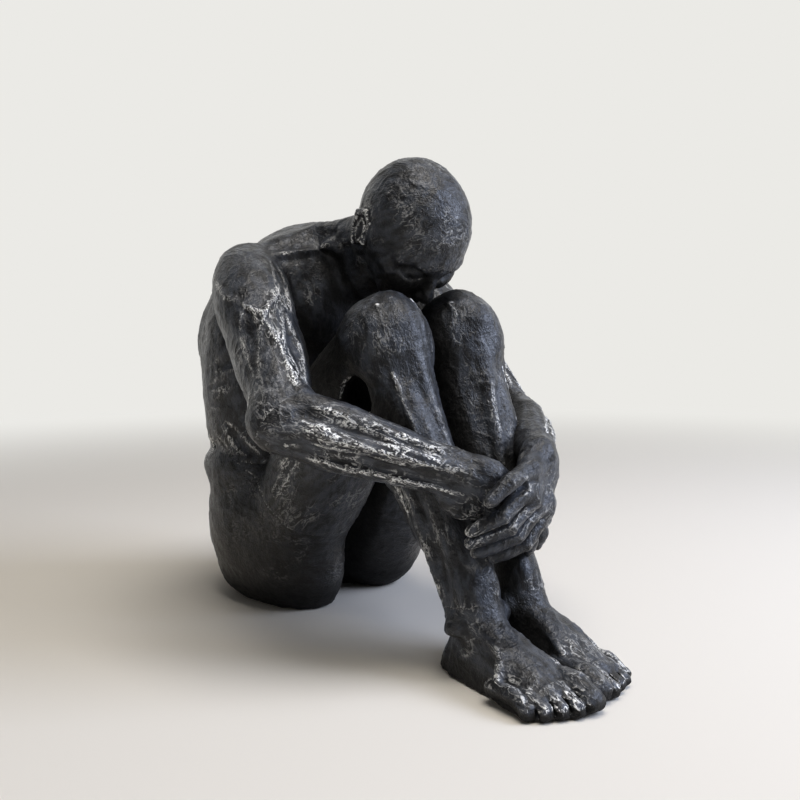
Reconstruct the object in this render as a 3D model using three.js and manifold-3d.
// A seated figure that hugs its knees, cast in sections and pinned together.
// Millimetres, +Z up. The figure faces -Y and +X is its left.
// The origin is the middle of its footprint, on the surface it rests on.
import * as THREE from "three";
import { mergeVertices } from "three/addons/utils/BufferGeometryUtils.js";
import Module from "manifold-3d";

const wasm = await Module();
wasm.setup();

const vec = (x, y, z) => new THREE.Vector3(x, y, z);

// Workshop sizes
const GLUE_GAP = 0.3; // epoxy line at each saw cut, and the air between castings that only touch
const SOLE_LIFT = 0.4; // height of the castings' undersides above the surface
const DOWEL_RADIUS = 2;
const DOWEL_LENGTH = 12;
const WAIST_DOWEL_OUT = 26; // from the middle of the waist
const THIN_DOWEL_RADIUS = 1.2; // wrists
const THIN_DOWEL_LENGTH = 8;
const FELT_POCKET = 1; // depth of the recess that each felt pad is stuck into
const SEAT_PAD_RADIUS = 10;
const FOOT_PAD_WIDTH = 9;
const SAW_BLOCK = 400; // side of the block that stands for one side of a saw cut
const DOWEL_SIDES = 10; // facets of a dowel and of its hole

// Main sizes of the pose: heights above the surface, and distances in front of the hips
const HEAD_HEIGHT = 172;
const HEAD_AHEAD = 62;
const SHOULDER_HEIGHT = 148;
const KNEE_HEIGHT = 124;
const KNEE_AHEAD = 73;
const ANKLE_AHEAD = 128.5;
const ELBOW_OUT = 70;

// Joint centres of the figure, right and left
const HIP = { right: vec(-26, 2, 32), left: vec(26, 2, 32) };
const KNEE = {
  right: vec(-19, -KNEE_AHEAD, KNEE_HEIGHT),
  left: vec(20, 1 - KNEE_AHEAD, KNEE_HEIGHT + 1),
};
const ANKLE = { right: vec(-15, -ANKLE_AHEAD, 22), left: vec(10.5, 4.5 - ANKLE_AHEAD, 22) };
const SHOULDER = { right: vec(-49, -11, SHOULDER_HEIGHT), left: vec(44, 0, SHOULDER_HEIGHT - 2) };
const ELBOW = { right: vec(-ELBOW_OUT, -79, 95), left: vec(ELBOW_OUT - 16, -70, 86) };
const WRIST = { right: vec(-10, -126, 73), left: vec(15, -128, 79) };
const HEAD = vec(3, -HEAD_AHEAD, HEAD_HEIGHT);
const HEAD_BOW = THREE.MathUtils.degToRad(48);
const NECK_ROOT = HEAD.clone().add(vec(0, 42, -4));
const NECK_TOP = HEAD.clone().add(vec(0, 18, -3));
const CHEST_TOP = vec(3, 8, SHOULDER_HEIGHT + 2);
const WAIST = vec(0, 14, 68);
const SIDES = { right: -1, left: 1 };

// Half sizes of the oval sections of each limb, at a share of the way along its bone
const THIGH = [
  { along: -0.08, side: 22, front: 19, back: 25 },
  { along: 0.2, side: 23, front: 21, back: 26 },
  { along: 0.45, side: 21.5, front: 21, back: 22.5 },
  { along: 0.7, side: 19.5, front: 20, back: 17 },
  { along: 0.9, side: 17.5, front: 18.5, back: 13.5 },
  { along: 1.02, side: 16, front: 17, back: 12.5 },
];
const SHIN = [
  { along: -0.02, side: 16, front: 17, back: 13 },
  { along: 0.1, side: 15.5, front: 14.5, back: 13.5 },
  { along: 0.28, side: 14, front: 11.5, back: 16.5 },
  { along: 0.45, side: 12.8, front: 11, back: 17.5 },
  { along: 0.65, side: 10.2, front: 9.8, back: 12.5 },
  { along: 0.85, side: 8.6, front: 8.6, back: 8.8 },
  { along: 1.02, side: 9.4, front: 8.8, back: 8.8 },
];
const UPPER_ARM = [
  { along: -0.1, side: 14, front: 14, back: 12.5 },
  { along: 0.05, side: 17, front: 16, back: 15.5 },
  { along: 0.28, side: 17.5, front: 15.5, back: 15.5 },
  { along: 0.52, side: 16.5, front: 14.5, back: 13.5 },
  { along: 0.78, side: 13.5, front: 13, back: 11.5 },
  { along: 1.02, side: 11, front: 11.5, back: 11 },
];
const FOREARM = [
  { along: -0.06, side: 10.5, front: 10, back: 10 },
  { along: 0.15, side: 12.5, front: 11, back: 10 },
  { along: 0.35, side: 12, front: 10.5, back: 9.5 },
  { along: 0.6, side: 10.2, front: 8.8, back: 8.2 },
  { along: 0.85, side: 8.6, front: 7.2, back: 6.6 },
  { along: 1.02, side: 8.2, front: 6.2, back: 6.2 },
];
const RIBS = [
  { along: 0, side: 51, front: 33, back: 36 },
  { along: 0.235, side: 52, front: 30, back: 42 },
  { along: 0.49, side: 54, front: 28, back: 48 },
  { along: 0.725, side: 56, front: 31, back: 48 },
  { along: 0.95, side: 51, front: 33, back: 38 },
  { along: 1.02, side: 45, front: 31, back: 31 },
];
const LOINS = [
  { along: 0, side: 34, front: 8, back: 28 },
  { along: 0.3, side: 42, front: 14, back: 34 },
  { along: 0.6, side: 49, front: 26, back: 38 },
  { along: 1, side: 50, front: 30, back: 40 },
];
const NECK = [
  { along: 0, side: 20, front: 16, back: 18 },
  { along: 0.5, side: 16, front: 13.5, back: 16 },
  { along: 1, side: 16, front: 14, back: 16 },
];
const THIGH_SPREAD = 13; // how far a thigh spreads into the seat's clay
const OUTER_THIGH = { right: 12, left: 6 }; // how far out the outer muscle of each thigh lies
const BUTTOCK = { out: 26, back: 15, height: 37, half: vec(29, 38, 41) };
const HAUNCH = {
  right: { at: vec(-25, 2, 24), half: vec(24, 33, 29) },
  left: { at: vec(25, 7, 24), half: vec(21, 30, 27) },
};

// Head, in its own frame before it is bowed: +Z to the crown, -Y out of the face
const CRANIUM = { at: vec(0, 1, 3), half: vec(22.8, 28.4, 25.6) };
const JAW = [
  { at: vec(0, -4, -4), side: 20, front: 20, back: 18 },
  { at: vec(0, -7, -14), side: 17, front: 18, back: 15 },
  { at: vec(0, -11, -22), side: 12.5, front: 14, back: 11 },
  { at: vec(0, -14, -28), side: 7.5, front: 10, back: 7 },
];
const BROW = { half: 13, at: vec(0, -24.5, 1), sweep: 5.5, radius: 3 };
const NOSE = [
  { at: vec(0, -25.5, -1), side: 2.6, front: 2.6, back: 4 },
  { at: vec(0, -27, -7), side: 3.2, front: 3.2, back: 4 },
  { at: vec(0, -27.5, -11.5), side: 4.6, front: 4, back: 4 },
];
const EAR = { out: 21.5, at: vec(0, 4.5, -7), half: vec(3, 5.5, 8.5) };
// Foot sections from heel to toe roots: distance in front of the ankle, half width, centre height, rise above it
const FOOT = [
  { ahead: -11, side: 7.6, height: 9, rise: 7.2 },
  { ahead: -6.5, side: 9.8, height: 9, rise: 11.3 },
  { ahead: 3, side: 10.3, height: 9.5, rise: 16.3 },
  { ahead: 17, side: 11.3, height: 9, rise: 11.8 },
  { ahead: 30, side: 13.4, height: 7.5, rise: 7.8 },
  { ahead: 38, side: 13.6, height: 5.5, rise: 5.3 },
];
const FOOT_PAD = { heel: -7, ball: 28 }; // ends of the felt under each foot, in front of the ankle
// Toes, big toe first: offset from the foot's line towards the big toe, root and tip in front of the ankle, radius
const TOES = [
  { inward: 8.4, root: 33, tip: 52.8, radius: 5.1 },
  { inward: 1.9, root: 34, tip: 51.6, radius: 3.5 },
  { inward: -3.4, root: 34, tip: 49, radius: 3.4 },
  { inward: -8.2, root: 33, tip: 46, radius: 3.3 },
  { inward: -12.2, root: 30, tip: 41.5, radius: 3.3 },
];

// Hands: the palm from the wrist to the knuckles, then each finger from its knuckle to its tip
const RIGHT_PALM = [
  { at: vec(-14, -123, 75), side: 8.5, front: 6.5, back: 6.5 },
  { at: vec(-4, -128, 69), side: 9.5, front: 5.5, back: 5.5 },
  { at: vec(5, -129, 61), side: 11, front: 5, back: 5 },
  { at: vec(10, -128, 55), side: 10, front: 4.2, back: 4.2 },
];
const RIGHT_FINGERS = [
  [vec(0, -129, 55), vec(2, -128, 50), vec(2, -125, 46)],
  [vec(6, -129, 55), vec(10, -128, 48), vec(11, -125, 43)],
  [vec(12, -128, 57), vec(17, -126, 50), vec(18, -123, 44.5)],
  [vec(16, -126, 61), vec(21, -123.5, 54), vec(22, -120, 49)],
];
const RIGHT_THUMB = [vec(8, -129, 68), vec(16, -126, 67), vec(22, -121, 65)];
const LEFT_PALM = [
  { at: vec(18, -123, 82), side: 8.5, front: 6.5, back: 6.5 },
  { at: vec(13, -133, 74), side: 9.5, front: 5.5, back: 5.5 },
  { at: vec(7, -138, 65), side: 11, front: 5.2, back: 5.2 },
  { at: vec(0, -139.5, 59), side: 11, front: 4.6, back: 4.6 },
];
const LEFT_FINGERS = [
  [vec(-4.5, -139, 70), vec(-15.5, -141, 63.2), vec(-24.4, -135, 57.7)],
  [vec(0, -138.5, 66.5), vec(-11.7, -140.5, 58.4), vec(-23.4, -134, 52.4)],
  [vec(5.4, -136.5, 63), vec(-6.4, -138.5, 54.2), vec(-19.6, -132, 47.6)],
  [vec(10.9, -133.5, 59.5), vec(0.4, -135.5, 50), vec(-9, -130, 44.6)],
];
const LEFT_THUMB = [vec(2, -136, 77), vec(-13, -140, 72.6), vec(-21.6, -140, 67)];
const FINGER_RADIUS = 2.9;
const THUMB_RADIUS = 3.2;

// Faces of the castings' sections and how finely their lines are followed
const LIMB = { sides: 14, steps: 2 };
const DIGIT = { sides: 8, steps: 1 };
// Clay: the room that it leaves for tool marks, the grid that it is sampled on, and how far its facets may stray
const MARK_ROOM = 0.5;
const CLAY_GRID = 5.3;
const CLAY_STRAY = 0.55;

const dress = (color, roughness, metalness) =>
  new THREE.MeshStandardMaterial({ color, roughness, metalness });
const RESIN = dress(0x2b2c2f, 0.55, 0.25);
const STEEL = dress(0xa9abae, 0.35, 0.9);
const FELT = dress(0x1c1c1d, 0.95, 0);

// Closed solid from a geometry whose shared vertices still have to be merged.
function solid(geometry) {
  geometry.deleteAttribute("normal");
  geometry.deleteAttribute("uv");
  const merged = mergeVertices(geometry, 1e-4);
  const corners = [...merged.index.array];
  const kept = [];
  for (let i = 0; i < corners.length; i += 3) {
    const [a, b, c] = corners.slice(i, i + 3);
    if (a !== b && b !== c && c !== a) kept.push(a, b, c);
  }
  return new wasm.Manifold(
    new wasm.Mesh({
      numProp: 3,
      vertProperties: merged.attributes.position.array,
      triVerts: new Uint32Array(kept),
    }),
  );
}

function geometryOf(body) {
  const mesh = body.getMesh();
  return new THREE.BufferGeometry()
    .setAttribute("position", new THREE.BufferAttribute(mesh.vertProperties, 3))
    .setIndex(new THREE.BufferAttribute(mesh.triVerts, 1));
}

const join = (bodies) => bodies.reduce((sum, body) => sum.add(body));

// A cut can shave crumbs off a casting: the casting is the largest body that is left.
function largest(body) {
  const bodies = body.decompose();
  return bodies.reduce((a, b) => (b.volume() > a.volume() ? b : a));
}

// Oval sections strung along a smooth line through the stations, closed by a dome at each end.
// Each station has a centre, a half width, and its reach to the front and to the back.
function loft(stations, front, { sides, steps }, grow = 0) {
  const line = new THREE.CatmullRomCurve3(stations.map((s) => s.at));
  const reach = new THREE.CatmullRomCurve3(
    stations.map((s) => vec(s.side, s.front, s.back)),
  );
  const ringCount = (stations.length - 1) * steps;
  const rings = [];
  const addRing = (u, scale, lead) => {
    const along = line.getTangent(u).normalize();
    const centre = line.getPoint(u).addScaledVector(along, lead);
    const ahead = front.clone().addScaledVector(along, -front.dot(along)).normalize();
    const across = ahead.clone().cross(along);
    const size = reach.getPoint(u).addScalar(grow).multiplyScalar(scale);
    const ring = [];
    for (let i = 0; i < sides; i++) {
      const angle = (2 * Math.PI * i) / sides;
      const depth = Math.sin(angle) > 0 ? size.y : size.z;
      ring.push(
        centre
          .clone()
          .addScaledVector(across, size.x * Math.cos(angle))
          .addScaledVector(ahead, depth * Math.sin(angle)),
      );
    }
    rings.push(ring);
  };
  const domeOf = (station) => 0.45 * (station.front + station.back) + grow;
  const startDome = domeOf(stations[0]);
  const endDome = domeOf(stations.at(-1));
  addRing(0, Math.SQRT1_2, -startDome * Math.SQRT1_2);
  for (let k = 0; k <= ringCount; k++) addRing(k / ringCount, 1, 0);
  addRing(1, Math.SQRT1_2, endDome * Math.SQRT1_2);

  const points = rings.flat();
  const first = points.length;
  points.push(line.getPoint(0).addScaledVector(line.getTangent(0).normalize(), -startDome));
  points.push(line.getPoint(1).addScaledVector(line.getTangent(1).normalize(), endDome));
  const triangles = [];
  for (let i = 0; i < sides; i++) {
    const next = (i + 1) % sides;
    const top = (rings.length - 1) * sides;
    triangles.push(first, next, i, first + 1, top + i, top + next);
    for (let k = 0; k < rings.length - 1; k++) {
      const low = k * sides;
      const high = low + sides;
      triangles.push(low + i, low + next, high + next, low + i, high + next, high + i);
    }
  }
  const geometry = new THREE.BufferGeometry().setFromPoints(points);
  geometry.setIndex(triangles);
  return solid(geometry);
}

function ellipsoid({ at, half }, grow = 0, sides = 10) {
  const geometry = new THREE.SphereGeometry(1, sides, (sides * 2) / 3);
  geometry.scale(half.x + grow, half.y + grow, half.z + grow);
  geometry.translate(at.x, at.y, at.z);
  return solid(geometry);
}

// A finger or toe of one radius along a short line, a little thinner at its tip.
const digit = (line, radius, front, grow) =>
  loft(
    line.map((at, i) => {
      const r = radius * (i === line.length - 1 ? 0.88 : 1);
      return { at, side: r, front: r, back: r };
    }),
    front,
    DIGIT,
    grow,
  );

const towards = (from, to) => to.clone().sub(from).normalize();
const FRONT = vec(0, -1, 0);
const UP = vec(0, 0, 1);

// A straight line through a limb, with a front and an outer side to place lumps by.
function bone(start, end, facing, outer) {
  const along = towards(start, end);
  const front = facing.clone().addScaledVector(along, -facing.dot(along)).normalize();
  const out = front.clone().cross(along);
  if (out.dot(outer) < 0) out.negate();
  const at = (share, sideways = 0, ahead = 0) =>
    start.clone().lerp(end, share).addScaledVector(out, sideways).addScaledVector(front, ahead);
  return { start, along, front, out, length: start.distanceTo(end), at };
}

// Distance to an oval, negative inside it, from offsets along its axes.
function ovalDistance(offsets, half) {
  let whole = 1e-6;
  let slope = 1e-9;
  offsets.forEach((offset, i) => {
    const share = offset / half[i];
    whole += share * share;
    slope += (share / half[i]) ** 2;
  });
  whole = Math.sqrt(whole);
  return (whole * (whole - 1)) / Math.sqrt(slope);
}

// The section at a share of the bone, on smooth curves through its stations.
function sectionAt(sections, share) {
  const last = sections.length - 1;
  const i = Math.min(Math.max(sections.findIndex((s) => s.along > share) - 1, 0), last - 1);
  const held = share >= sections[last].along ? last - 1 : i;
  const t = (share - sections[held].along) / (sections[held + 1].along - sections[held].along);
  return ["side", "front", "back"].map((key) => {
    const b = sections[held][key];
    const c = sections[held + 1][key];
    const a = held > 0 ? sections[held - 1][key] : 2 * b - c;
    const d = held + 2 <= last ? sections[held + 2][key] : 2 * c - b;
    const bend = (2 * a - 5 * b + 4 * c - d) * t + (3 * b - a - 3 * c + d) * t * t;
    return 0.5 * (2 * b + (c - a) * t + bend * t);
  });
}

// Lumps of clay, as distances: a swept limb, an ellipsoid between two tips, and a tapered cord through points.
function limb({ start, along, front, out, length }, sections) {
  const offset = vec(0, 0, 0);
  return (point) => {
    offset.copy(point).sub(start);
    const run = offset.dot(along) / length;
    const held = THREE.MathUtils.clamp(run, sections[0].along, sections.at(-1).along);
    const [side, ahead, behind] = sectionAt(sections, held);
    const depth = offset.dot(front);
    return ovalDistance(
      [offset.dot(out), depth, (run - held) * length],
      [side, depth > 0 ? ahead : behind, 0.45 * (ahead + behind)],
    );
  };
}
function belly(start, end, wide, deep, facing) {
  const middle = start.clone().lerp(end, 0.5);
  const { along, front, out, length } = bone(start, end, facing, facing);
  const offset = vec(0, 0, 0);
  return (point) => {
    offset.copy(point).sub(middle);
    const offsets = [offset.dot(along), offset.dot(out), offset.dot(front)];
    return ovalDistance(offsets, [length / 2, wide, deep]);
  };
}
function cord(points, radii) {
  const runs = points.slice(1).map((end, i) => end.clone().sub(points[i]));
  const offset = vec(0, 0, 0);
  return (point) =>
    runs.reduce((least, run, i) => {
      offset.copy(point).sub(points[i]);
      const t = THREE.MathUtils.clamp(offset.dot(run) / run.lengthSq(), 0, 1);
      const radius = THREE.MathUtils.lerp(radii[i], radii[i + 1], t);
      return Math.min(least, offset.addScaledVector(run, -t).length() - radius);
    }, Infinity);
}

// Works on the clay: a lump melted on, a lump carved out, and a line pressed in (or raised, if its depth is negative).
const melt = (a, b, width) => {
  const h = Math.max(width - Math.abs(a - b), 0) / width;
  return Math.min(a, b) - (h * h * width) / 4;
};
const put = (lump, blend) => (value, point) => melt(value, lump(point), blend);
const carve = (lump, blend) => (value, point) => -melt(-value, lump(point), blend);
const press = (points, radii, depth) => {
  const line = cord(points, radii);
  const widest = Math.max(...radii);
  return (value, point) => value + depth * THREE.MathUtils.smoothstep(-line(point) / widest, 0, 1);
};

// Works of each clay casting: what is put on, and the marks that come after
const clay = {
  pelvis: {
    put: [
      put(limb(bone(vec(0, 14, 12), vec(0, 15, 80), FRONT, vec(1, 0, 0)), LOINS), 8),
      ...Object.values(SIDES).map((sign) =>
        put(belly(vec(sign * 42, -2, 64), vec(sign * 43, 42, 64), 13, 11, UP), 7),
      ),
    ],
    marks: [
      carve(belly(vec(0, -26, -20), vec(0, -20, 44), 7, 20, FRONT), 5),
      press([vec(0, 55, 68), vec(0, 52, 48), vec(0, 46, 22), vec(0, 38, 0)], [4, 9, 10, 8], 6),
    ],
  },
  torso: {
    put: [
      put(limb(bone(vec(0, 15, 48), CHEST_TOP, FRONT, vec(1, 0, 0)), RIBS), 10),
      put(belly(vec(-40, 22, 143), vec(46, 22, 143), 25, 21, UP), 10),
      put(limb(bone(NECK_ROOT.clone().add(vec(0, 10, -7)), NECK_TOP, UP, vec(1, 0, 0)), NECK), 7),
      put(belly(vec(3, -8, 146), NECK_TOP.clone().add(vec(0, -4, -9)), 15, 12, UP), 6),
    ],
    marks: [],
  },
};
const furrow = [vec(0, 58, 58), vec(1, 63, 90), vec(2, 61, 120), vec(3, 51, 146)];
clay.torso.marks.push(press(furrow, [5, 8, 8, 5], 3));
for (const [side, sign] of Object.entries(SIDES)) {
  const seat = [{ at: vec(sign * BUTTOCK.out, BUTTOCK.back, BUTTOCK.height), half: BUTTOCK.half }, HAUNCH[side]];
  clay[`${side}_seat`] = {
    put: seat.map(({ at, half }) => {
      const tall = vec(0, 0, half.z);
      return put(belly(at.clone().sub(tall), at.clone().add(tall), half.x, half.y, FRONT), 6);
    }),
    marks: [],
  };
  const outward = vec(sign, 0, 0);
  const tip = SHOULDER[side];
  const fromTip = (inward, back, up) => tip.clone().add(vec(-sign * inward, back, up));
  const slope = [vec(3 + sign * 7, -40, 172), vec(3 + sign * 16, -14, 169), fromTip(10, 8, 9)];
  const longMuscle = [
    vec(sign * 11, 43, 60),
    vec(sign * 12 + 1, 50, 92),
    vec(sign * 11 + 2, 49, 120),
    vec(sign * 9 + 3, 38, 145),
    vec(sign * 7 + 3, 14, 164),
  ];
  clay.torso.put.push(
    put(belly(vec(3 - sign * 6, 0, 160), fromTip(-4, 4, 4), 20, 13, UP), 8),
    put(cord(slope, [6, 8, 8.5]), 8),
    put(belly(vec(3 + sign * 2, -20, 136), fromTip(4, -5, -6), 18, 10, FRONT), 6),
    put(cord(longMuscle, [9, 10.5, 10, 9, 7]), 7),
    put(belly(vec(sign * 30, 32, 158), vec(sign * 35, 41, 104), 20, 11, vec(sign * 0.4, 0.9, 0.2)), 10),
    put(belly(vec(sign * 49, 14, 146), vec(sign * 46, 26, 72), 22, 10, vec(sign, 0.25, 0)), 7),
  );
  const blade = [vec(sign * 17, 52, 148), vec(sign * 20, 58, 130), vec(sign * 27, 58, 112)];
  const collar = [vec(3 + sign * 6, -34, 160), vec(3 + sign * 20, -28, 166), fromTip(9, -8, 14)];
  clay.torso.marks.push(
    press([...blade, vec(sign * 40, 46, 112)], [4, 7, 8, 4], -2),
    press([vec(sign * 19, 46, 152), vec(sign * 34, 34, 158), vec(sign * 46, 14, 160)], [4, 7, 5], -2.2),
    press(collar, [4, 5.5, 4], -2.4),
    press([vec(3 + sign * 14, -30, 172), vec(3 + sign * 26, -20, 172), fromTip(12, -4, 18)], [4, 7, 3], 2.6),
  );

  const upper = bone(tip, ELBOW[side], WRIST[side].clone().sub(ELBOW[side]), UP);
  clay[`${side}_upper_arm`] = {
    put: [
      put(limb(upper, UPPER_ARM), 5),
      put(belly(upper.at(-0.2, 5, -2), upper.at(0.55, 7, -3), 15, 12.5, upper.out), 5),
      put(belly(upper.at(-0.12, 0, -5), upper.at(0.42, 3, -7), 12, 9.5, upper.front), 4),
      put(belly(upper.at(0.18, 0, 7.5), upper.at(0.94, -1, 7), 10.5, 9, upper.front), 3),
      put(belly(upper.at(0.15, -3, -5), upper.at(0.86, 0, -4), 10.5, 9, upper.front), 3),
      put(belly(upper.at(0.42, 7, -1), upper.at(0.95, 7, 1), 6.5, 6, upper.out), 3),
      put(cord([upper.at(0.86, 0, -6.5), upper.at(0.97, 0, -7.5), upper.at(1.04, 1, -5)], [4, 4.6, 4]), 3),
    ],
    marks: [],
  };
  const fore = bone(ELBOW[side], WRIST[side], vec(-sign, 1, 0), UP);
  const radial = [upper.at(0.74, 8, 3), fore.at(0.08, 9, -1), fore.at(0.3, 8.5, -3), fore.at(0.72, 4.5, -3)];
  const ridge = [fore.at(0, 1, -8), fore.at(0.22, 1.5, -9.6), fore.at(0.52, 2, -8), fore.at(0.9, 2, -4.8)];
  const edge = [fore.at(-0.06, -5, -6), fore.at(0.28, -8.5, -5), fore.at(0.66, -7, -3.8), fore.at(0.98, -6, -2)];
  clay[`${side}_forearm`] = {
    put: [
      put(limb(fore, FOREARM), 4),
      put(cord(radial, [3.5, 5.2, 5.6, 3]), 3),
      put(cord(ridge, [3.2, 3.8, 3.2, 2.4]), 1.8),
      put(cord(edge, [3.2, 3.4, 3, 3]), 2),
      put(belly(fore.at(0, -4, 4), fore.at(0.62, -3, 3), 10, 8.5, fore.front), 3),
    ],
    marks: [],
  };

  const knee = KNEE[side];
  const dome = belly(
    knee.clone().add(vec(0, 14, 13)),
    knee.clone().add(vec(0, -16, -12)),
    16.5,
    14,
    vec(0, -0.5, 0.85),
  );
  const thigh = bone(HIP[side], knee, vec(0, 1, 0), outward);
  const outer = OUTER_THIGH[side];
  const pit = knee.clone().add(vec(sign * 8, 6, -24));
  const sunk = vec(-sign * 10, 14, -1.5);
  clay[`${side}_thigh`] = {
    put: [
      put(limb(thigh, THIGH), 6),
      put(belly(thigh.at(0.25, outer, 5), thigh.at(1, outer - 2, 6), 14, 10, thigh.out), 6),
      put(belly(thigh.at(0.58, -9, 9), thigh.at(1, -9, 7), 9.5, 9, thigh.out), 4),
      put(belly(thigh.at(0.2, 0, 15), thigh.at(0.92, 0, 13), 10, 7, thigh.front), 5),
      put(belly(thigh.at(0.05, 8, -15), thigh.at(0.8, 8, -8), 11, 10, thigh.front), 5),
      put(belly(thigh.at(0.05, -8, -15), thigh.at(0.82, -8, -8), 11, 10, thigh.front), 5),
      put(dome, 6),
    ],
    marks: [
      carve(belly(pit.clone().sub(sunk), pit.clone().add(sunk), 5.5, 9.5, UP), 3),
    ],
  };
  const shin = bone(knee, ANKLE[side], FRONT, outward);
  const crest = [shin.at(0.12, -1, 12), shin.at(0.36, -2.5, 10.8), shin.at(0.66, -3, 9.2), shin.at(0.93, -3.5, 7)];
  clay[`${side}_shin`] = {
    put: [
      put(limb(shin, SHIN), 4),
      put(cord(crest, [3.6, 3, 2.6, 2.6]), 2),
      put(belly(shin.at(0.08, 7, 7), shin.at(0.66, 3, 7.5), 7, 6, shin.front.clone().add(shin.out)), 2.5),
      put(belly(shin.at(0.03, 7.5, -11), shin.at(0.54, 5.5, -12), 10, 9.5, shin.front), 3.5),
      put(belly(shin.at(0.03, -7.5, -11), shin.at(0.6, -5.5, -12), 10, 9.5, shin.front), 3.5),
      put(belly(shin.at(0.34, 3, -9.5), shin.at(0.82, 0, -8.5), 9.5, 8, shin.front), 3),
      put(cord([shin.at(0.6, 0, -11.5), shin.at(0.84, 0, -9), shin.at(1.04, 0, -9)], [4.5, 3.2, 3.4]), 3),
      put(dome, 6),
    ],
    marks: [],
  };
}

// A limit for a casting that may take its neighbour's clay only within some distance of a lump of its own.
const within = (lump, distance) => (value, point) => Math.max(value, lump(point) - distance);

// The field of several castings' clay together, negative inside.
function fieldOf(names, limits) {
  const marks = [...names.flatMap((n) => clay[n].marks), ...limits];
  const works = [...names.flatMap((n) => clay[n].put), ...marks];
  return (point) => works.reduce((value, work) => work(value, point), 40) - MARK_ROOM;
}

// A body of clay within a margin round the given points. Growing it moves its skin outwards.
function clayBody(names, points, margin, ...limits) {
  const field = fieldOf(names, limits);
  const room = new THREE.Box3().setFromPoints(points).expandByScalar(margin);
  const sample = vec(0, 0, 0);
  const at = (x, y, z) => field(sample.set(x, y, z));
  const body = wasm.Manifold.levelSet(
    ([x, y, z]) => -at(x, y, z),
    { min: room.min.toArray(), max: room.max.toArray() },
    CLAY_GRID,
    0,
    0.05,
  ).simplify(CLAY_STRAY);
  return (grow) => {
    if (!grow) return [body];
    const grown = body.warp((v) => {
      const [x, y, z] = v;
      const rise = vec(at(x + 0.1, y, z), at(x, y + 0.1, z), at(x, y, z + 0.1)).subScalar(at(x, y, z));
      rise.setLength(grow + 0.1);
      v[0] += rise.x;
      v[1] += rise.y;
      v[2] += rise.z;
    });
    return [grown];
  };
}

// Each casting's forms, grown by a clearance when they are used to cut a neighbour
const hipCut = (side) => vec(HIP[side].x - 2 * SIDES[side], -16, 54);
const trunk = clayBody(
  ["pelvis", "right_seat", "left_seat", "torso", "right_upper_arm", "left_upper_arm"],
  [WAIST, SHOULDER.right, SHOULDER.left, NECK_TOP, vec(0, 45, 100)],
  30,
);
const forms = {
  pelvis: clayBody(
    ["pelvis", "right_seat", "left_seat", "torso", "right_thigh", "left_thigh"],
    [HIP.right, HIP.left, hipCut("right"), hipCut("left"), WAIST, vec(0, 40, 40)],
    36,
  ),
  torso: trunk,
  head: (grow) => {
    const bowed = new THREE.Matrix4()
      .makeTranslation(HEAD.x, HEAD.y, HEAD.z)
      .multiply(new THREE.Matrix4().makeRotationX(HEAD_BOW));
    const browEnd = vec(BROW.half, BROW.sweep, -1);
    const browLine = [
      BROW.at.clone().add(browEnd),
      BROW.at,
      BROW.at.clone().add(browEnd.clone().setX(-BROW.half)),
    ];
    const skull = join([
      ellipsoid(CRANIUM, grow, 24),
      digit(browLine, BROW.radius, FRONT, grow),
      loft(JAW, FRONT, LIMB, grow),
      loft(NOSE, FRONT, DIGIT, grow),
      ...Object.values(SIDES).map((sign) =>
        ellipsoid({ at: EAR.at.clone().setX(sign * EAR.out), half: EAR.half }, grow),
      ),
    ]);
    return [skull.transform(bowed.elements), ...trunk(grow)];
  },
};
for (const [side, sign] of Object.entries(SIDES)) {
  const upperArm = `${side}_upper_arm`;
  forms[upperArm] = clayBody(["torso", upperArm, `${side}_forearm`], [SHOULDER[side], ELBOW[side]], 28);
  forms[`${side}_forearm`] = clayBody([upperArm, `${side}_forearm`], [ELBOW[side], WRIST[side]], 22);
  const thigh = `${side}_thigh`;
  const lapBone = bone(HIP[side], KNEE[side], vec(0, 1, 0), vec(sign, 0, 0));
  const own = within(limb(lapBone, THIGH), THIGH_SPREAD);
  forms[thigh] = clayBody([`${side}_seat`, thigh], [hipCut(side), KNEE[side]], 36, own);
  forms[`${side}_shin`] = clayBody([thigh, `${side}_shin`], [KNEE[side], ANKLE[side]], 24);
  forms[`${side}_foot`] = (grow) => {
    const ankle = ANKLE[side];
    const sole = FOOT.map(({ ahead, side: half, height, rise }) => ({
      at: vec(ankle.x, ankle.y - ahead, height),
      side: half,
      front: rise,
      back: height + 2,
    }));
    const toes = TOES.map(({ inward, root, tip, radius }) => {
      const x = ankle.x - sign * inward;
      return digit(
        [
          vec(x, ankle.y - root, radius + 2.5),
          vec(x, ankle.y - (root + tip) / 2, radius + 2),
          vec(x, ankle.y - tip + radius, radius),
        ],
        radius,
        UP,
        grow,
      );
    });
    const neck = [
      { at: vec(ankle.x, ankle.y + 4, 34), side: 9, front: 9, back: 9.5 },
      { at: vec(ankle.x, ankle.y + 1.5, 23), side: 9.8, front: 9.5, back: 9.8 },
      { at: vec(ankle.x, ankle.y, 12), side: 10, front: 10, back: 10 },
    ];
    const knobs = [
      { at: vec(ankle.x + sign * 9.5, ankle.y + 3, 20), half: vec(4.5, 4.7, 4.7) },
      { at: vec(ankle.x - sign * 8.8, ankle.y + 1, 23), half: vec(4.6, 4.8, 4.8) },
    ];
    return [
      loft(sole, UP, LIMB, grow),
      loft(neck, FRONT, LIMB, grow),
      ...knobs.map((knob) => ellipsoid(knob, grow)),
      ...toes,
    ];
  };
}
forms.right_hand = (grow) => [
  loft(RIGHT_PALM, vec(0, -1, -0.4), LIMB, grow),
  ...RIGHT_FINGERS.map((line) => digit(line, FINGER_RADIUS, FRONT, grow)),
  digit(RIGHT_THUMB, THUMB_RADIUS, FRONT, grow),
];
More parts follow.
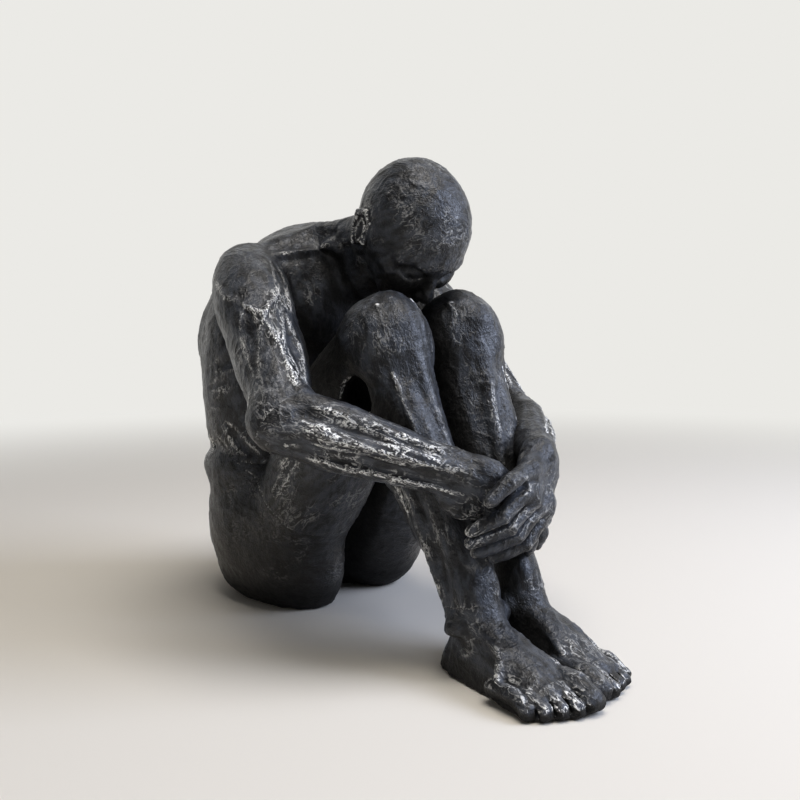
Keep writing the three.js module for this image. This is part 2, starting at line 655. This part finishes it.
forms.left_hand = (grow) => [
  loft(LEFT_PALM, vec(0, -1, -0.4), LIMB, grow),
  ...LEFT_FINGERS.map((line) => digit(line, FINGER_RADIUS, FRONT, grow)),
  digit(LEFT_THUMB, THUMB_RADIUS, FRONT, grow),
];

// Saw cuts between castings. The normal points from the inner casting to the outer one.
const cuts = [
  { inner: "pelvis", outer: "torso", at: WAIST, normal: vec(0, 0.1, 1), dowels: "waist" },
  { inner: "torso", outer: "head", at: NECK_ROOT, normal: vec(0, -0.8, 0.6), dowels: "neck" },
];
for (const [side, sign] of Object.entries(SIDES)) {
  const upperArm = towards(SHOULDER[side], ELBOW[side]);
  const forearm = towards(ELBOW[side], WRIST[side]);
  const thigh = towards(HIP[side], KNEE[side]);
  const shin = towards(KNEE[side], ANKLE[side]);
  const hips = vec(0, -0.63, 0.775); // both hips are sawn in one plane
  const cut = (inner, outer, at, normal, dowels) =>
    cuts.push({ inner, outer: `${side}_${outer}`, at, normal, dowels: `${side}_${dowels}` });
  cut("torso", "upper_arm", SHOULDER[side], vec(sign * 0.8, -0.45, 0.2), "shoulder");
  cut(`${side}_upper_arm`, "forearm", ELBOW[side], upperArm.clone().add(forearm), "elbow");
  cut(`${side}_forearm`, "hand", WRIST[side], forearm, "wrist");
  cut("pelvis", "thigh", hipCut(side), hips, "hip");
  cut(`${side}_thigh`, "shin", KNEE[side], thigh.clone().add(shin), "knee");
  cut(`${side}_shin`, "foot", ANKLE[side].clone().add(vec(0, 0, 6)), vec(0, -0.2, -1), "ankle");
}
for (const cut of cuts) cut.normal.normalize();

// One side of a saw cut, as a block that starts off the plane by the given clearance.
function sawBlock({ at, normal }, sign, clearance) {
  const away = normal.clone().multiplyScalar(sign);
  const geometry = new THREE.BoxGeometry(SAW_BLOCK, SAW_BLOCK, SAW_BLOCK);
  geometry.translate(0, 0, SAW_BLOCK / 2 + clearance);
  geometry.applyQuaternion(new THREE.Quaternion().setFromUnitVectors(UP, away));
  geometry.translate(at.x, at.y, at.z);
  return solid(geometry);
}

// A casting's forms joined, flat underneath and sawn at its joints.
function sawn(name, grow = 0) {
  let body = join(forms[name](grow));
  for (const cut of cuts) {
    if (cut.inner === name) body = body.subtract(sawBlock(cut, 1, grow - GLUE_GAP / 2));
    if (cut.outer === name) body = body.subtract(sawBlock(cut, -1, grow - GLUE_GAP / 2));
  }
  const floor = { at: vec(0, 0, SOLE_LIFT), normal: vec(0, 0, -1) };
  return body.subtract(sawBlock(floor, 1, grow));
}

function cylinder(at, axis, radius, length) {
  const geometry = new THREE.CylinderGeometry(radius, radius, length, DOWEL_SIDES);
  geometry.applyQuaternion(new THREE.Quaternion().setFromUnitVectors(vec(0, 1, 0), axis));
  geometry.translate(at.x, at.y, at.z);
  return solid(geometry);
}

const figure = new THREE.Group();
function addPiece(name, body, material) {
  const mesh = new THREE.Mesh(geometryOf(body), material);
  mesh.name = name;
  figure.add(mesh);
}

// Dowels: one on each cut, and two at the waist so that the trunk can't turn
const dowels = cuts.flatMap(({ inner, outer, at, normal, dowels: name }) => {
  const thin = name.endsWith("wrist");
  const radius = thin ? THIN_DOWEL_RADIUS : DOWEL_RADIUS;
  const length = thin ? THIN_DOWEL_LENGTH : DOWEL_LENGTH;
  const holds = [inner, outer];
  if (name !== "waist") return [{ name: `${name}_dowel`, holds, at, normal, radius, length }];
  return Object.entries(SIDES).map(([side, sign]) => ({
    name: `${side}_waist_dowel`,
    holds,
    at: at.clone().add(vec(sign * WAIST_DOWEL_OUT, 0, 0)),
    normal,
    radius,
    length,
  }));
});

// Felt pads, in pockets under the seat and the feet
const padTop = SOLE_LIFT + FELT_POCKET - GLUE_GAP;
const capsule = (width, length) => {
  const radius = width / 2;
  const shape = new THREE.Shape();
  shape.absarc(0, length / 2 - radius, radius, 0, Math.PI);
  shape.absarc(0, radius - length / 2, radius, Math.PI, 2 * Math.PI);
  return shape;
};
const slab = (width, length, at, height) => {
  const geometry = new THREE.ExtrudeGeometry(capsule(width, length), {
    depth: height,
    bevelEnabled: false,
    curveSegments: 8,
  });
  geometry.translate(at.x, at.y, at.z);
  return solid(geometry);
};
const pads = Object.entries(SIDES).flatMap(([side, sign]) => {
  const foot = ANKLE[side];
  const middle = (FOOT_PAD.heel + FOOT_PAD.ball) / 2;
  return [
    {
      name: `${side}_seat_pad`,
      under: "pelvis",
      at: vec(sign * BUTTOCK.out, BUTTOCK.back, 0),
      width: 2 * SEAT_PAD_RADIUS,
      length: 2 * SEAT_PAD_RADIUS + 0.02,
    },
    {
      name: `${side}_foot_pad`,
      under: `${side}_foot`,
      at: vec(foot.x, foot.y - middle, 0),
      width: FOOT_PAD_WIDTH,
      length: FOOT_PAD.ball - FOOT_PAD.heel,
    },
  ];
});

// Castings, in the order that they are fitted: each clears the ones before it that it only touches
const order = [
  "pelvis",
  "right_thigh",
  "left_thigh",
  "right_shin",
  "left_shin",
  "right_foot",
  "left_foot",
  "torso",
  "right_upper_arm",
  "left_upper_arm",
  "head",
  "right_forearm",
  "left_forearm",
  "right_hand",
  "left_hand",
];
const joined = (a, b) =>
  cuts.some((c) => (c.inner === a && c.outer === b) || (c.inner === b && c.outer === a));
order.forEach((name, turn) => {
  let body = sawn(name);
  for (const other of order.slice(0, turn)) {
    if (!joined(name, other)) body = body.subtract(sawn(other, GLUE_GAP)).subtract(sawn(other));
  }
  for (const dowel of dowels.filter((d) => d.holds.includes(name))) {
    body = body.subtract(
      cylinder(dowel.at, dowel.normal, dowel.radius + GLUE_GAP, dowel.length + 2 * GLUE_GAP),
    );
  }
  for (const pad of pads.filter((p) => p.under === name)) {
    const gap = 2 * GLUE_GAP;
    const pocket = slab(
      pad.width + gap,
      pad.length + gap,
      pad.at.clone().setZ(-1),
      SOLE_LIFT + FELT_POCKET + 1,
    );
    body = body.subtract(pocket);
  }
  addPiece(`${name}_casting`, largest(body), RESIN);
});
for (const { name, at, normal, radius, length } of dowels) {
  addPiece(name, cylinder(at, normal, radius, length), STEEL);
}
for (const { name, at, width, length } of pads) {
  addPiece(name, slab(width, length, at, padTop), FELT);
}
// The figure was modelled about its hips: bring the middle of its footprint to the origin.
const footprint = new THREE.Box3().setFromObject(figure).getCenter(vec(0, 0, 0));
for (const piece of figure.children) piece.geometry.translate(-footprint.x, -footprint.y, 0);

export default figure;
